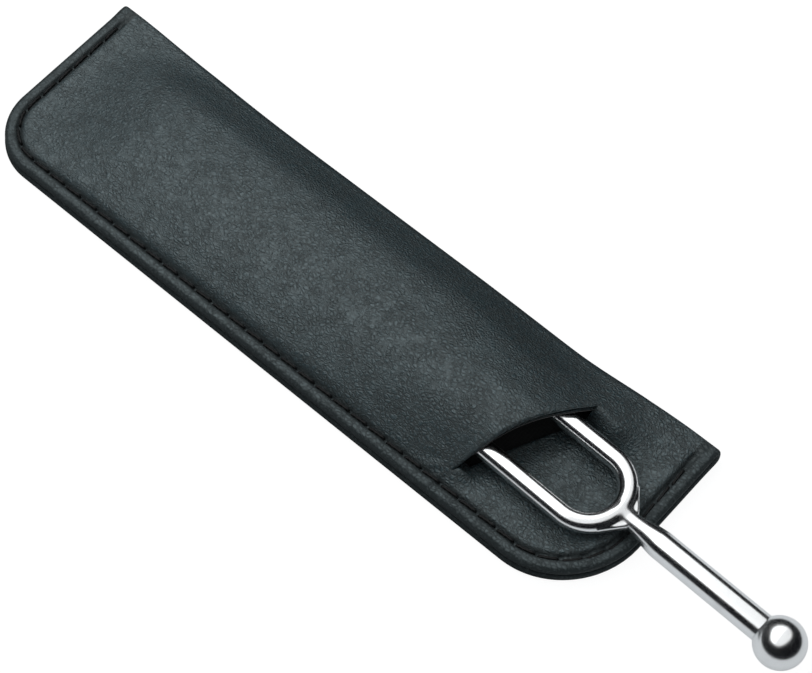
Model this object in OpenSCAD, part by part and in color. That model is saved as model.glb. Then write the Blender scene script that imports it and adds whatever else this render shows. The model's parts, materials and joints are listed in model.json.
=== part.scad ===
// Round-prong tuning fork, partly drawn out of its folded and sewn leatherette sleeve.
// Millimetres. The origin is the centre of the sleeve's underside, +X runs from the closed
// end to the mouth end, +Y from the sewn long edge to the fold, and +Z is up.

/* [Sleeve] */
// Length of the sleeve, closed end to mouth end
sleeve_length = 146; // [120:1:180]
// Width of the sleeve, sewn long edge to fold
sleeve_width = 40; // [34:1:56]
// Thickness of the sewn edge, four layers together
edge_thickness = 3.8; // [3:0.1:5]
// Thickness of the leatherette
skin_thickness = 0.9; // [0.6:0.1:1.2]
// Thickness of the lining cloth
lining_thickness = 0.3; // [0.2:0.1:0.5]
// Radius of the closed end's rounded corner
closed_radius = 11.5; // [9:0.5:16]
// Radius of the mouth end's rounded corner
mouth_radius = 17; // [12:0.5:21]
// Width of the edge that is turned in and sewn down
hem_width = 6; // [5:0.5:6.5]
// How far the fold draws in where the pocket is full
fold_waist = 1.3; // [0:0.1:3]
// Width of the rounded strip at the fold
fold_depth = 3; // [2:0.5:5]

/* [Mouth] */
// Distance from the mouth end to the middle of the slit
mouth_from_end = 26.7; // [24:0.1:40]
// Slant of the slit away from square
mouth_slant = 25.2; // [10:0.1:30]
// Height of the open lip above the sewn edge
lip_rise = 8.4; // [7:0.1:12]
// Depth that the panel under the fork dips below the sewn edge
panel_dip = 0.7; // [0.4:0.1:0.9]

/* [Stitching] */
// Distance of the seam from the edge
stitch_inset = 2.7; // [2:0.1:4]
// Length of one stitch and its hole
stitch_pitch = 4.2; // [3:0.1:6]
// Gap between two stitches where the thread dips into the leather
stitch_gap = 1; // [0.6:0.1:1.5]
// Diameter of the sewing thread
thread_diameter = 0.5; // [0.3:0.05:0.6]
// Width of the pressed seam groove
groove_width = 0.9; // [0.7:0.1:1.2]
// Distance from the fold at which the seam starts and stops
stitch_stop = 5; // [4:0.5:8]

/* [Fork] */
// Diameter of the round prongs
prong_diameter = 3.8; // [3:0.1:4.8]
// Distance between the prongs' centre lines
prong_spacing = 14; // [11:0.1:17]
// Length of the straight part of a prong
prong_length = 78; // [60:1:92]
// Edge rounding at the prong tips
tip_rounding = 0.5; // [0.2:0.1:0.9]
// Diameter of the stem
stem_diameter = 5.2; // [4:0.1:6]
// Distance from the bend's outermost centre line to the ball's centre
stem_reach = 34.9; // [28:0.1:44]
// Diameter of the neck between the bend and the stem
neck_diameter = 3.3; // [2.6:0.1:3.7]
// Length over which the neck widens to the stem
neck_taper = 6; // [4:0.1:8]
// Length of the neck beyond the bend
neck_length = 1.2; // [0.6:0.1:2.5]
// Thickness of the webs that run from the bend to the neck
web_thickness = 2.4; // [1.5:0.1:2.9]
// Diameter of the ball
ball_diameter = 9.2; // [7.5:0.1:11]
// Diameter of the spigot that holds the ball on the stem
spigot_diameter = 3; // [2:0.1:3.5]
// Length of that spigot
spigot_length = 3.5; // [2:0.5:4]

/* [Place of the fork] */
// Distance from the mouth end to the ball's centre at rest
ball_reach = 28.8; // [20:0.1:40]
// Distance from the sleeve's middle line to the stem where it crosses the mouth end
stem_offset = -2.3; // [-5:0.1:2]
// Turn of the fork in plan, away from the sleeve's long edge
fork_turn = -2.4; // [-3:0.1:0]
// How far the fork can be pushed in from rest
push_in = 25; // [0:1:25]

/* [Fits] */
// Gap between the stem and the sewn edge it lies on
stem_clearance = 0.45; // [0.3:0.05:0.8]
// Gap between the pushed-in prong tips and the lining
tip_clearance = 0.35; // [0.2:0.05:0.8]
// Gap between a prong and the raised panel
prong_clearance = 0.3; // [0.3:0.05:0.8]
// Gap between layers and threads that lie on each other
layer_gap = 0.02; // [0.01:0.01:0.05]
// Gap at the root of a prong, which lets it flex
flex_gap = 0.02; // [0.02:0.01:0.05]

/* [Hidden] */
$fn = 48;

// Heights of the layers at the sewn edge
hem_thickness = edge_thickness / 2 - skin_thickness;
wall = skin_thickness + lining_thickness;
seam_y = stitch_inset + groove_width;
groove_depth = thread_diameter + 0.05;

// Line of the fork's centre: over the sewn edge at the mouth end, on the lining at the tips
bend_radius = prong_spacing / 2;
prong_root = -stem_reach - bend_radius;
prong_tip = prong_root - prong_length;
outer_bend = bend_radius + prong_diameter / 2;
neck_reach = outer_bend + neck_length;
neck_start = prong_root + neck_reach;
stem_height = edge_thickness + stem_diameter / 2 + stem_clearance;
tip_height = wall + prong_diameter / 2 + tip_clearance;
tip_from_end = -(ball_reach + prong_tip) + push_in;
fork_slope = (stem_height - tip_height) / tip_from_end;
fork_pitch = atan(fork_slope);
ball_height = stem_height + ball_reach * fork_slope;
ball_side = sleeve_width / 2 + stem_offset + ball_reach * tan(fork_turn);
ball_radius = ball_diameter / 2;
ball_seat = sqrt(pow(ball_radius, 2) - pow(stem_diameter / 2, 2));

// Where the raised part of the front starts and stops
crown_start = 4;
crown_full = 28;
lip_run = 38;
shoulder_run = 16;
waist_start = 5;
waist_full = 46;

// Grid of the front panel. Its slit runs along one column, between two rows.
CORNER_STEPS = 6;
POCKET_STEPS = 9;
PANEL_STEPS = 9;
ROW_SHARES = [0, 0.135, 0.25, 0.36, 0.47, 0.58, 0.69, 0.79, 0.87, 0.93, 1];
LAST_ROW = len(ROW_SHARES) - 1;
SLIT_COLUMN = CORNER_STEPS + POCKET_STEPS;
LAST_COLUMN = SLIT_COLUMN + PANEL_STEPS;
SLIT_FIRST_ROW = 1;
SLIT_LAST_ROW = LAST_ROW - 1;
LINING_COLUMN = 5;
LINING_ROW = 2;

function clamp(t) = max(0, min(1, t));
function ramp(a, b, x) = let (t = clamp((x - a) / (b - a))) t * t * (3 - 2 * t);
function mix(a, b, t) = a + (b - a) * t;

// Plan of the sleeve: the fold edge, the line where the fold's rounding starts, and the slit
function fullness(x) = ramp(waist_start, waist_full, x)
    * (1 - ramp(sleeve_length - 31, sleeve_length - 4, x));
function fold_y(x) = sleeve_width - fold_waist * fullness(x);
function crease_y(x) = fold_y(x) - fold_depth;
function slit_x(y) = sleeve_length - mouth_from_end + (y - 0.4625 * sleeve_width) * tan(mouth_slant);
function edge_gap(x, y) = x > mouth_centre && y < mouth_radius
    ? mouth_radius - norm([x - mouth_centre, mouth_radius - y])
    : min(y, sleeve_length - x);

// Line of the fork, and the crown that the panel needs to clear the prongs where they are nearest
// to its sides
function fork_z(x) = stem_height + (x - sleeve_length) * fork_slope;
function fork_y(x) = ball_side + (x - sleeve_length - ball_reach) * tan(fork_turn);
crown_share = min([for (side = [-1, 1])
    arch(across(sleeve_length - lip_run, fork_y(sleeve_length - lip_run) + side * bend_radius), 1, 0.7)]);
function crown(x) = ramp(crown_start, crown_full, x)
    * (fork_z(x) + prong_diameter / 2 + prong_clearance + wall - edge_thickness) / crown_share;

// Outer height of the front, on the pocket side and on the panel side of the slit
function across(x, y) = clamp((y - seam_y) / (fold_y(x) - seam_y));
function arch(share, skew, power) = pow(sin(180 * pow(share, skew)), power);
function pocket_z(x, y) = let (w = ramp(-lip_run, 0, x - slit_x(y)))
    edge_thickness + mix(crown(x), lip_rise, w) * arch(across(x, y), mix(1, 0.8, w), mix(0.7, 1.5, w));
function panel_z(x, y) = let (beyond = x - slit_x(y), top = crease_y(x))
    edge_thickness
    + lip_rise * arch(across(x, y), 0.8, 1.5) * ramp(top - 5, top - 1.8, y) * (1 - ramp(0, shoulder_run, beyond))
    - panel_dip * sin(180 * across(x, y)) * ramp(hem_width + 1.5, hem_width + 8, edge_gap(x, y))
      * (1 - ramp(top - 5, top - 1.8, y));

// Plan place of a grid point
function pocket_side_x(i, y) = i <= CORNER_STEPS
    ? closed_radius * (1 - cos(90 * i / CORNER_STEPS))
    : let (t = (i - CORNER_STEPS) / POCKET_STEPS, s = 1 - pow(1 - t, 1.25))
      mix(closed_radius, mix(sleeve_length - mouth_from_end, slit_x(y), ramp(0.2, 1, t)), s);
function panel_side_x(i, y) = mix(slit_x(y), sleeve_length, sin(90 * (i - SLIT_COLUMN) / PANEL_STEPS));
function grid_x(i, y) = i <= SLIT_COLUMN ? pocket_side_x(i, y) : panel_side_x(i, y);
function round_off(radius, d) = radius - sqrt(max(0, pow(radius, 2) - pow(max(0, d), 2)));
function corner_y(x) = max(round_off(closed_radius, closed_radius - x),
                           round_off(mouth_radius, x - sleeve_length + mouth_radius));
function row_y(x, j) = mix(corner_y(x), crease_y(x), ROW_SHARES[j]);
function grid_xy(i, j) = let (x0 = grid_x(i, sleeve_width / 2), y0 = row_y(x0, j),
                              x1 = grid_x(i, y0), y1 = row_y(x1, j), x2 = grid_x(i, y1))
    [x2, row_y(x2, j)];

// The seam runs down the closed end, round its corner, along the long edge, round the other
// corner and up the mouth end. A place on it is its distance from the start.
closed_bend = closed_radius - stitch_inset;
mouth_bend = mouth_radius - stitch_inset;
seam_top = sleeve_width - stitch_stop;
mouth_centre = sleeve_length - mouth_radius;
SEAM_ENDS = [seam_top - closed_radius,
             seam_top - closed_radius + closed_bend * PI / 2,
             seam_top - closed_radius + closed_bend * PI / 2 + mouth_centre - closed_radius,
             seam_top - closed_radius + closed_bend * PI / 2 + mouth_centre - closed_radius + mouth_bend * PI / 2];
seam_total = SEAM_ENDS[3] + seam_top - mouth_radius;
stitch_count = floor(seam_total / stitch_pitch);
function on_arc(centre, radius, a) = [centre + radius * cos(a), radius * sin(a)];
function seam_point(s) =
    s < SEAM_ENDS[0] ? [stitch_inset, seam_top - s]
    : s < SEAM_ENDS[1]
      ? on_arc(closed_radius, closed_bend, 180 + (s - SEAM_ENDS[0]) / closed_bend * 180 / PI) + [0, closed_radius]
    : s < SEAM_ENDS[2] ? [closed_radius + s - SEAM_ENDS[1], stitch_inset]
    : s < SEAM_ENDS[3]
      ? on_arc(mouth_centre, mouth_bend, 270 + (s - SEAM_ENDS[2]) / mouth_bend * 180 / PI) + [0, mouth_radius]
    : [sleeve_length - stitch_inset, mouth_radius + s - SEAM_ENDS[3]];

// Moves the sleeve's own corner-based plan into the part's frame
module in_sleeve() {
    translate([-sleeve_length / 2, -sleeve_width / 2, 0]) children();
}

// Puts the fork's own frame, with the ball's centre as its origin, into the sleeve
module in_fork() {
    in_sleeve()
        translate([sleeve_length + ball_reach, ball_side, ball_height])
            rotate([0, -fork_pitch, fork_turn])
                children();
}

// Turns a rotate_extrude about +Z into one about the fork's +X axis
module along_axis() {
    rotate([0, 90, 0]) children();
}

// Outline of the sewn sides, moved in by a distance, and closed along the fold's crease
module outline(inset) {
    start = [inset, closed_radius];
    end = [sleeve_length - inset, mouth_radius];
    crease = [for (i = [LAST_COLUMN:-1:0])
        let (p = grid_xy(i, LAST_ROW)) if (p[0] > inset && p[0] < sleeve_length - inset) p];
    polygon(concat([start, [closed_radius, inset], [mouth_centre, inset], end,
                    [end[0], crease_y(end[0])]], crease, [[inset, crease_y(inset)]]));
    intersection() {
        translate([closed_radius, closed_radius]) circle(r = closed_radius - inset);
        square(closed_radius);
    }
    intersection() {
        translate([mouth_centre, mouth_radius]) circle(r = mouth_radius - inset);
        translate([mouth_centre, 0]) square(mouth_radius);
    }
}

// The turned-in strip that runs round the three sewn sides
module hem() {
    linear_extrude(hem_thickness - layer_gap)
        difference() {
            outline(0);
            outline(hem_width);
            translate([hem_width, sleeve_width / 2]) square([sleeve_length - 2 * hem_width, sleeve_width]);
        }
}

// The pressed groove that the seam lies in
module groove() {
    linear_extrude(2 * groove_depth, center = true)
        intersection() {
            difference() {
                outline(stitch_inset - groove_width / 2);
                outline(stitch_inset + groove_width / 2);
            }
            square([sleeve_length, sleeve_width - stitch_stop + stitch_gap]);
        }
}

// One row of stitches, each a short length of thread with round ends
module stitches(height) {
    for (k = [0:stitch_count - 1]) {
        a = seam_point((k + 0.5) * stitch_pitch - (stitch_pitch - stitch_gap) / 2);
        b = seam_point((k + 0.5) * stitch_pitch + (stitch_pitch - stitch_gap) / 2);
        run = norm(b - a) - thread_diameter;
        translate([(a[0] + b[0]) / 2, (a[1] + b[1]) / 2, height])
            rotate([0, 0, atan2(b[1] - a[1], b[0] - a[0])])
                rotate([0, 90, 0]) {
                    cylinder(h = run, d = thread_diameter, center = true, $fn = 16);
                    for (end = [-1, 1])
                        translate([0, 0, end * run / 2]) sphere(d = thread_diameter, $fn = 16);
                }
    }
}

// A panel that follows the front's height, from high to low below it, between two columns and
// from one row to the crease. The slit's left and right edges are separate rows of points.
module front_sheet(high, low, first_column, last_column, first_row) {
    rows = LAST_ROW - first_row + 1;
    pocket_columns = SLIT_COLUMN - first_column + 1;
    panel_columns = last_column - SLIT_COLUMN + 1;
    slit_start = max(SLIT_FIRST_ROW, first_row);
    pocket = [for (i = [first_column:SLIT_COLUMN]) for (j = [first_row:LAST_ROW])
        let (p = grid_xy(i, j)) [p[0], p[1], pocket_z(p[0], p[1])]];
    panel = [for (i = [SLIT_COLUMN:last_column]) for (j = [first_row:LAST_ROW])
        let (p = grid_xy(i, j), at_slit = i == SLIT_COLUMN ? layer_gap : 0)
        [p[0] + at_slit, p[1], panel_z(p[0], p[1])]];
    surface = concat(pocket, panel);
    count = len(surface);
    points = concat([for (p = surface) p - [0, 0, high]], [for (p = surface) p - [0, 0, low]]);
    function on_slit(j) = j > (first_row > SLIT_FIRST_ROW ? first_row - 1 : SLIT_FIRST_ROW) && j < SLIT_LAST_ROW;
    function left(i, j) = (i - first_column) * rows + j - first_row;
    function right(i, j) = i == SLIT_COLUMN && !on_slit(j)
        ? left(i, j)
        : pocket_columns * rows + (i - SLIT_COLUMN) * rows + j - first_row;
    function both(a, b, c, d) = [[a, c, b], [a, d, c],
                                 [a + count, b + count, c + count], [a + count, c + count, d + count]];
    function side(a, b) = [[b, a, a + count], [b, a + count, b + count]];
    faces = concat(
        [for (i = [first_column:SLIT_COLUMN - 1]) for (j = [first_row:LAST_ROW - 1])
            each both(left(i, j), left(i + 1, j), left(i + 1, j + 1), left(i, j + 1))],
        [for (i = [SLIT_COLUMN:last_column - 1]) for (j = [first_row:LAST_ROW - 1])
            each both(right(i, j), right(i + 1, j), right(i + 1, j + 1), right(i, j + 1))],
        [for (j = [first_row:LAST_ROW - 1]) each side(left(first_column, j), left(first_column, j + 1))],
        [for (j = [first_row:LAST_ROW - 1]) each side(right(last_column, j + 1), right(last_column, j))],
        [for (i = [first_column:SLIT_COLUMN - 1]) each side(left(i + 1, first_row), left(i, first_row))],
        [for (i = [SLIT_COLUMN:last_column - 1]) each side(right(i + 1, first_row), right(i, first_row))],
        [for (i = [first_column:SLIT_COLUMN - 1]) each side(left(i, LAST_ROW), left(i + 1, LAST_ROW))],
        [for (i = [SLIT_COLUMN:last_column - 1]) each side(right(i, LAST_ROW), right(i + 1, LAST_ROW))],
        [for (j = [first_row:LAST_ROW - 1]) if (left(SLIT_COLUMN, j) != right(SLIT_COLUMN, j)
                                               || left(SLIT_COLUMN, j + 1) != right(SLIT_COLUMN, j + 1))
            each side(left(SLIT_COLUMN, j + 1), left(SLIT_COLUMN, j))],
        [for (j = [first_row:LAST_ROW - 1]) if (left(SLIT_COLUMN, j) != right(SLIT_COLUMN, j)
                                               || left(SLIT_COLUMN, j + 1) != right(SLIT_COLUMN, j + 1))
            each side(right(SLIT_COLUMN, j), right(SLIT_COLUMN, j + 1))]);
    polyhedron(points, faces, convexity = 8);
}

module back_cover() {
    color("#2b3133")
        in_sleeve()
            difference() {
                linear_extrude(skin_thickness) outline(0);
                groove();
            }
}

module back_hem() {
    color("#24292b")
        in_sleeve()
            translate([0, 0, skin_thickness]) hem();
}

module front_hem() {
    color("#24292b")
        in_sleeve()
            translate([0, 0, skin_thickness + hem_thickness]) hem();
}

// The room between the turned-in edges of the two ends, which the lining stays in
module between_hems() {
    translate([hem_width + layer_gap, 0, 0])
        cube([sleeve_length - 2 * hem_width - 2 * layer_gap, sleeve_width, edge_thickness + lip_rise + 20]);
}

module back_lining() {
    border = concat(
        [for (i = [LINING_COLUMN:LAST_COLUMN - LINING_COLUMN]) grid_xy(i, LINING_ROW)],
        [for (i = [LAST_COLUMN - LINING_COLUMN:-1:LINING_COLUMN]) grid_xy(i, LAST_ROW)]);
    color("#16181a")
        in_sleeve()
            intersection() {
                translate([0, 0, skin_thickness]) linear_extrude(lining_thickness) polygon(border);
                between_hems();
            }
}

module front_lining() {
    color("#16181a")
        in_sleeve()
            intersection() {
                front_sheet(skin_thickness + layer_gap, skin_thickness + lining_thickness,
                            LINING_COLUMN, LAST_COLUMN - LINING_COLUMN, LINING_ROW);
                between_hems();
            }
}

module front_cover() {
    color("#33393b")
        in_sleeve()
            difference() {
                front_sheet(0, skin_thickness - layer_gap, 0, LAST_COLUMN, 0);
                translate([0, 0, edge_thickness]) groove();
            }
}

// The rounded strip of the same leatherette that joins the back to the front at the fold
module fold_spine() {
    steps = 6;
    ring = 2 * (steps + 1);
    stations = [for (i = [0:LAST_COLUMN]) let (p = grid_xy(i, LAST_ROW)) [p[0], p[1],
        i <= SLIT_COLUMN ? pocket_z(p[0], p[1]) : panel_z(p[0], p[1])]];
    function half_round(p, inset) = [for (k = [0:steps])
        let (a = -90 + 180 * k / steps, squareness = mix(0.4, 1, fullness(p[0])))
        [p[0], p[1] + layer_gap + (fold_y(p[0]) - p[1] - inset - layer_gap) * pow(cos(a), squareness),
         p[2] / 2 + (p[2] / 2 - inset) * sin(a)]];
    points = [for (p = stations)
        each concat(half_round(p, 0), [for (k = [steps:-1:0]) half_round(p, skin_thickness)[k]])];
    last = len(stations) - 1;
    faces = concat(
        [for (i = [0:last - 1]) for (k = [0:ring - 1]) let (a = i * ring + k, b = i * ring + (k + 1) % ring)
            each [[a, a + ring, b + ring], [a, b + ring, b]]],
        [for (k = [0:steps - 1]) [k, k + 1, ring - 2 - k, ring - 1 - k]],
        [for (k = [0:steps - 1]) [for (m = [ring - 1 - k, ring - 2 - k, k + 1, k]) last * ring + m]]);
    color("#2b3133")
        in_sleeve()
            polyhedron(points, faces, convexity = 6);
}

module needle_thread() {
    color("#101112")
        in_sleeve()
            stitches(edge_thickness - groove_depth + layer_gap + thread_diameter / 2);
}

module bobbin_thread() {
    color("#101112")
        in_sleeve()
            stitches(groove_depth - layer_gap - thread_diameter / 2);
}

// The bend that joins the prongs, the two webs that touch its outside, and the neck
module yoke() {
    half_neck = neck_diameter / 2;
    touch = acos(outer_bend / norm([neck_reach, half_neck])) + atan2(half_neck, neck_reach);
    touch_x = outer_bend * cos(touch);
    touch_y = outer_bend * sin(touch);
    color("#dfe3e4")
        in_fork()
            translate([prong_root, 0, 0]) {
                rotate([0, 0, -90])
                    rotate_extrude(angle = 180)
                        translate([bend_radius, 0]) circle(d = prong_diameter);
                translate([bend_radius, 0, 0])
                    along_axis() cylinder(h = neck_reach - bend_radius, d = neck_diameter);
                linear_extrude(web_thickness, center = true)
                    difference() {
                        polygon([[neck_reach, half_neck], [touch_x, touch_y],
                                 [touch_x, -touch_y], [neck_reach, -half_neck]]);
                        circle(r = bend_radius);
                    }
            }
}

// The turned stem: a short taper up from the neck, the straight stem and the ball's spigot
module stem() {
    profile = [[0, neck_start], [neck_diameter / 2, neck_start],
               [stem_diameter / 2, neck_start + neck_taper], [stem_diameter / 2, -ball_seat],
               [spigot_diameter / 2, -ball_seat], [spigot_diameter / 2, spigot_length - ball_seat],
               [0, spigot_length - ball_seat]];
    color("#dfe3e4")
        in_fork()
            along_axis() rotate_extrude() polygon(profile);
}

module ball_foot() {
    socket_depth = ball_seat - spigot_length - layer_gap;
    color("#dfe3e4")
        in_fork()
            along_axis()
                rotate_extrude()
                    difference() {
                        intersection() {
                            circle(r = ball_radius);
                            translate([0, -ball_seat]) square(2 * ball_radius);
                        }
                        translate([0, -ball_seat - 1])
                            square([spigot_diameter / 2 + layer_gap, 1 + ball_seat - socket_depth]);
                    }
}

// A straight round prong, from the end of the bend to its softly rounded tip
module prong(side) {
    radius = prong_diameter / 2;
    straight = prong_length - flex_gap;
    profile = concat(
        [[0, 0], [radius, 0]],
        [for (a = [0:15:90])
            [radius - tip_rounding + tip_rounding * cos(a), straight - tip_rounding + tip_rounding * sin(a)]],
        [[0, straight]]);
    color("#dfe3e4")
        in_fork()
            translate([prong_root - flex_gap, side * bend_radius, 0])
                rotate([0, -90, 0])
                    rotate_extrude() polygon(profile);
}

module prong_left() {
    prong(1);
}

module prong_right() {
    prong(-1);
}

back_cover();
back_hem();
back_lining();
front_hem();
front_lining();
front_cover();
fold_spine();
needle_thread();
bobbin_thread();
yoke();
stem();
ball_foot();
prong_left();
prong_right();
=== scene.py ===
"""Round-prong tuning fork, partly drawn out of its folded and sewn leatherette sleeve."""

import json
import math

import bmesh
import bpy
from bpy.props import FloatProperty, FloatVectorProperty, IntProperty, PointerProperty
from bpy.types import Operator, Panel, PropertyGroup
from mathutils import Matrix, Vector, noise


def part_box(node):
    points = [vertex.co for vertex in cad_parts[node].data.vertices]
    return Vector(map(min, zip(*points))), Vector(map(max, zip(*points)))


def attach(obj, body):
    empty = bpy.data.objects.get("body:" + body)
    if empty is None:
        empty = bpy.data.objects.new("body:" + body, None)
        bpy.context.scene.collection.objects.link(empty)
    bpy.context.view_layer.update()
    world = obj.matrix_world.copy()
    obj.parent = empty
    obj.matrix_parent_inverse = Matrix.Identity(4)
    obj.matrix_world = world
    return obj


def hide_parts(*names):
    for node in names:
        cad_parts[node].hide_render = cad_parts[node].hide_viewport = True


bl_info = {
    "name": "Tuning Fork in a Sleeve",
    "version": (1, 0, 0),
    "blender": (4, 5, 0),
    "location": "View3D > Sidebar > Tuning Fork",
    "description": "Models a tuning fork and its sewn leatherette sleeve round a packed CAD frame",
    "category": "Add Mesh",
}

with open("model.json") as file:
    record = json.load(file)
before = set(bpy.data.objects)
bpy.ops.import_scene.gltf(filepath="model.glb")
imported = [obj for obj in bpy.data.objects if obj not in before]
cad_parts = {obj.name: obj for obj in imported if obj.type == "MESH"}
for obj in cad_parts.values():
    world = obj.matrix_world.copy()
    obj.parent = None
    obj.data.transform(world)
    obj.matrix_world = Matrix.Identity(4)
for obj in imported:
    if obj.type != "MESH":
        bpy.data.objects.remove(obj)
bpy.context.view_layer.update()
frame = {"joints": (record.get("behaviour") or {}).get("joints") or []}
JOINTS = {joint["name"]: joint for joint in frame["joints"]}
MM = 0.001
PLATING = "bright_plating"
SHARP_ANGLE = math.radians(50)
TURNED_EDGE = [0, 0.03, 0.11, 0.25, 0.43, 0.66, 0.95]  # millimetres in from the edge
SEAM_STRIP = ((2.05, 3), (3.35, 9))  # the next stretches, in fine steps across the seam
SLIT_RIM = [0.04, 0.12, 0.28, 0.5, 0.8, 1.2]  # millimetres away from the slit
SLANT_START = 104  # millimetres from the closed end, where the columns start to slant
MERGE = 0.002  # millimetres within which two vertices are one


# ---------------------------------------------------------------- sizes and colours


def length(name, description, millimetres):
    """A length that a user can change, given in millimetres and kept in metres."""
    return FloatProperty(name=name, description=description, default=millimetres * MM, unit="LENGTH")


def tint(name, description, default):
    """A colour that a user can change."""
    return FloatVectorProperty(
        name=name, description=description, default=default, subtype="COLOR", size=3, min=0, max=1)


class SleeveSizes(PropertyGroup):
    """Sizes of the sleeve."""

    edge_thickness: length("Sewn Edge", "Thickness of the sewn edge, four layers together", 3.8)
    skin: length("Leatherette", "Thickness of the leatherette", 0.9)
    rim: length("Slit Rim", "Thickness of the turned rim of the slit", 1.25)
    lining: length("Lining", "Thickness of the lining cloth", 0.3)
    closed_radius: length("Closed Corner", "Radius of the closed end's corner", 11.5)
    mouth_radius: length("Mouth Corner", "Radius of the mouth end's corner", 17)
    hem: length("Hem", "Width of the turned-in edge", 6)
    fold_waist: length("Fold Waist", "How far the fold draws in at the middle", 0.85)
    fold_depth: length("Fold Depth", "Width of the rounded strip at the fold", 1.8)
    mouth_from_end: length("Mouth Distance", "Distance from the mouth end to the middle of the slit", 26.7)
    mouth_slant: FloatProperty(
        name="Mouth Slant", description="Slant of the slit away from square", default=math.radians(25.2),
        unit="ROTATION", subtype="ANGLE")
    lip_rise: length("Lip Rise", "Height of the open lip above the sewn edge", 8.4)
    panel_dip: length("Panel Dip", "Depth that the panel under the fork dips", 0.7)
    skew: length("Mouth End Skew", "How much shorter the sewn edge is than the fold at the mouth end", 0.9)
    lower_edge: length("Lower Edge", "How far the lower turned edge stands out past the upper one", 0.32)
    curl: length("Slit Curl", "How far the panel's rim curls down at the slit", 0.9)
    fall: length(
        "Fold Side Fall", "How much further the front falls beside the fold than beside the seam", 1.6)
    wrinkle: length("Wrinkles", "Height of the soft unevenness of the leatherette", 0.16)


class SeamSizes(PropertyGroup):
    """Sizes of the seam."""

    inset: length("Inset", "Distance of the seam from the edge", 2.7)
    pitch: length("Pitch", "Length of one stitch and its hole", 4.2)
    stop: length("Stop", "Distance from the fold at which the seam starts and stops", 5)
    thread: length("Thread", "Diameter of the sewing thread", 0.55)
    groove: length("Groove", "Depth of the pressed seam groove", 0.42)


class ForkSizes(PropertyGroup):
    """Sizes of the fork."""

    prong: length("Prong", "Diameter of the round prongs", 3.8)
    prong_length: length("Prong Length", "Length of the straight part of a prong", 78)
    tip: length("Tip Rounding", "Edge rounding at the prong tips", 0.5)
    neck: length("Neck", "Diameter of the neck between the bend and the stem", 3.3)
    neck_length: length("Neck Length", "Length of the neck beyond the bend", 1.2)
    taper: length("Taper", "Length over which the neck widens to the stem", 6)
    web: length("Web", "Thickness of the webs beside the neck", 1.9)
    stem: length("Stem", "Diameter of the stem", 5.2)
    stem_reach: length(
        "Stem Reach", "Distance from the bend's outermost centre line to the ball's centre", 34.9)
    ball: length("Ball", "Diameter of the ball", 9.2)
    turns: IntProperty(
        name="Turned Facets", description="Steps round a turned piece", default=72, min=24, max=128)


class FinishColours(PropertyGroup):
    """Colours of the finishes."""

    leather: tint("Leatherette", "Colour of the leatherette", (0.0155, 0.029, 0.034))
    lining: tint("Lining", "Colour of the lining cloth", (0.003, 0.0035, 0.004))
    thread: tint("Thread", "Colour of the sewing thread", (0.0025, 0.003, 0.0034))
    metal: tint("Plating", "Colour of the plated steel", (0.84, 0.86, 0.87))
    floor: tint("Floor", "Colour of the floor", (0.9, 0.91, 0.92))


class Millimetres:
    """The lengths of a property group in millimetres; angles and numbers as they are."""

    def __init__(self, group):
        for name in group.bl_rna.properties.keys():
            value = getattr(group, name)
            if isinstance(value, float):
                is_length = group.bl_rna.properties[name].unit == "LENGTH"
                value = value / MM if is_length else value
            setattr(self, name, value)


# ---------------------------------------------------------------- small helpers


def clamp(t):
    return max(0.0, min(1.0, t))


def ramp(a, b, x):
    """0 up to a, 1 from b on, and smooth between."""
    t = clamp((x - a) / (b - a))
    return t * t * (3 - 2 * t)


def mix(a, b, t):
    return a + (b - a) * t


def runs(start, *stretches):
    """Evenly spaced places from start, given as (end, steps) for each stretch."""
    places = [start]
    for end, steps in stretches:
        begin = places[-1]
        places += [mix(begin, end, k / steps) for k in range(1, steps + 1)]
    return places


def nearest(places, value):
    """Which of the places lies nearest to a value."""
    return min(range(len(places)), key=lambda j: abs(places[j] - value))


def from_edge(*stretches):
    """Places from a sewn edge inwards, close together round the turned edge and across the seam."""
    return TURNED_EDGE + runs(TURNED_EDGE[-1], *SEAM_STRIP, *stretches)[1:]


def blank_rows(front, fold_steps, back):
    """The rows of a folded blank: up the front, round the fold and down the back."""
    fold = [math.pi / 2 - math.pi * k / fold_steps for k in range(1, fold_steps)]
    return [("front", v) for v in front] + [("fold", a) for a in fold] + [("back", v) for v in back[::-1]]


def placed(name, bm, material=None):
    """Makes an object of a bmesh and puts it in the scene."""
    mesh = bpy.data.meshes.new(name)
    bm.to_mesh(mesh)
    bm.free()
    if material:
        mesh.materials.append(material)
    made = bpy.data.objects.new(name, mesh)
    bpy.context.scene.collection.objects.link(made)
    return made


def finished(name, bm, material, body, slot, *nodes):
    """Makes a piece of a bmesh, gives it its finish and its body, and hides the nodes it stands for."""
    piece = placed(name, bm, material)
    for polygon in piece.data.polygons:
        polygon.use_smooth = True
    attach(piece, body)
    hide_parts(*nodes)
    return piece


def mapped_grid(bm, columns, rows, place):
    """Adds a grid whose vertices go where place(column, row) says, and returns them by column and row."""
    made = bmesh.ops.create_grid(bm, x_segments=columns - 1, y_segments=rows - 1, size=1)
    table = {}
    for vert in made["verts"]:
        i = round((vert.co.x + 1) / 2 * (columns - 1))
        j = round((vert.co.y + 1) / 2 * (rows - 1))
        table[i, j] = vert
    for (i, j), vert in table.items():
        vert.co = place(i, j)
    return table


def sharpen(bm):
    """Keeps the shading of a flat end apart from that of the round side."""
    for edge in bm.edges:
        if len(edge.link_faces) == 2 and edge.calc_face_angle() > SHARP_ANGLE:
            edge.smooth = False


# ---------------------------------------------------------------- shader expressions


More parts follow.
